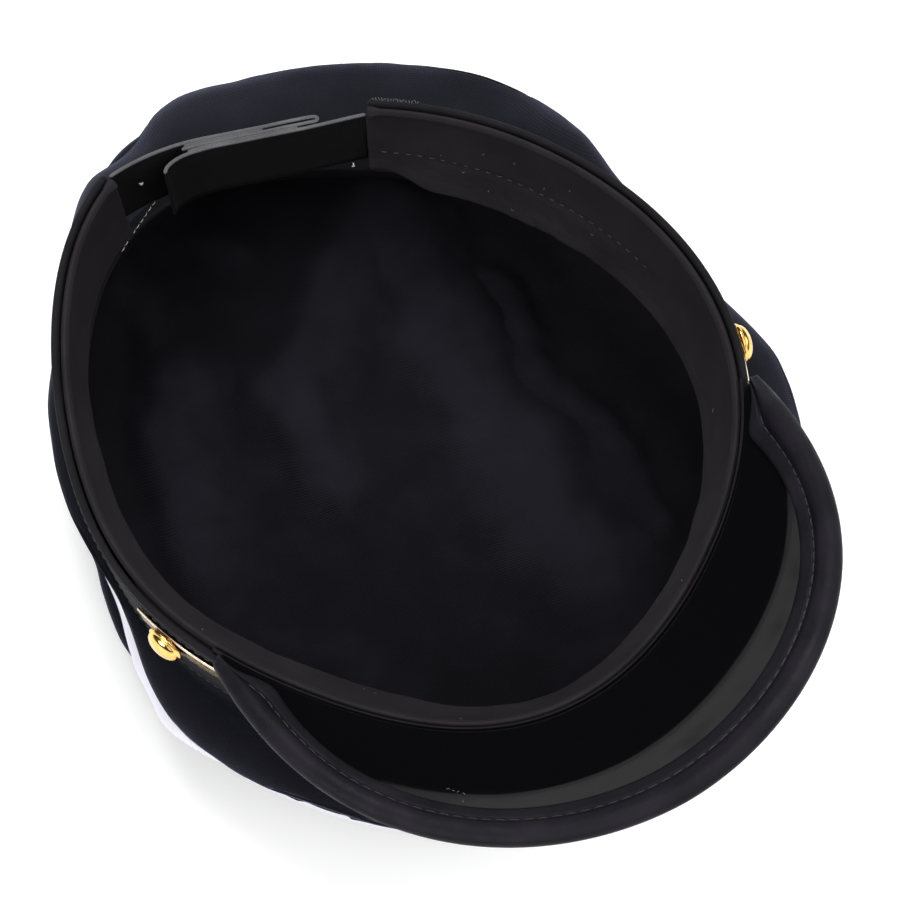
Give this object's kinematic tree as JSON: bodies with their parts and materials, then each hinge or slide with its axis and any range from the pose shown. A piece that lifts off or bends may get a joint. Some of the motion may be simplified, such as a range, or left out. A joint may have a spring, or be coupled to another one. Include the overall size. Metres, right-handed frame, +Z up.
{
  "type": "peaked pilot cap",
  "caption": "Soft peaked cap lying upside down, with a stiff head band, folded sweatband, bound glossy peak, front strap with dome buttons, and back adjuster straps.",
  "frame": {"origin": "point on the resting plane straight below the middle of the head opening", "axes": "+Z up out of the upturned head opening, -Y towards the peak, +Y towards the back straps, +X towards the wearer's right"},
  "size_m": [0.2076, 0.2741, 0.1123],
  "materials": {
    "navy_cloth": "plain-woven navy cloth, soft and matt with a faint sheen",
    "white_cloth": "plain-woven white cloth with a cool tint",
    "black_cloth": "close-woven black band cloth, matt",
    "sweatband_cloth": "brownish black woven sweatband cloth, matt",
    "gloss_black": "polished black plastic sheet",
    "leatherette": "fine-grained black leatherette, satin",
    "gold_braid": "woven metallic gold braid",
    "gold_metal": "polished gold-coloured metal",
    "adjuster_webbing": "black hook-and-loop strap with pale selvedges"
  },
  "bodies": {
    "root": {"crown_side": "navy_cloth", "crown_trim": "white_cloth", "crown_piping": "navy_cloth", "crown_top": "navy_cloth", "cap_band": "black_cloth", "sweatband": "sweatband_cloth", "visor": "gloss_black", "visor_binding": "leatherette", "chin_strap": "gold_braid", "button_left": "gold_metal", "button_right": "gold_metal", "adjuster_strap_left": "adjuster_webbing", "adjuster_strap_right": "adjuster_webbing"}
  },
  "joints": []
}
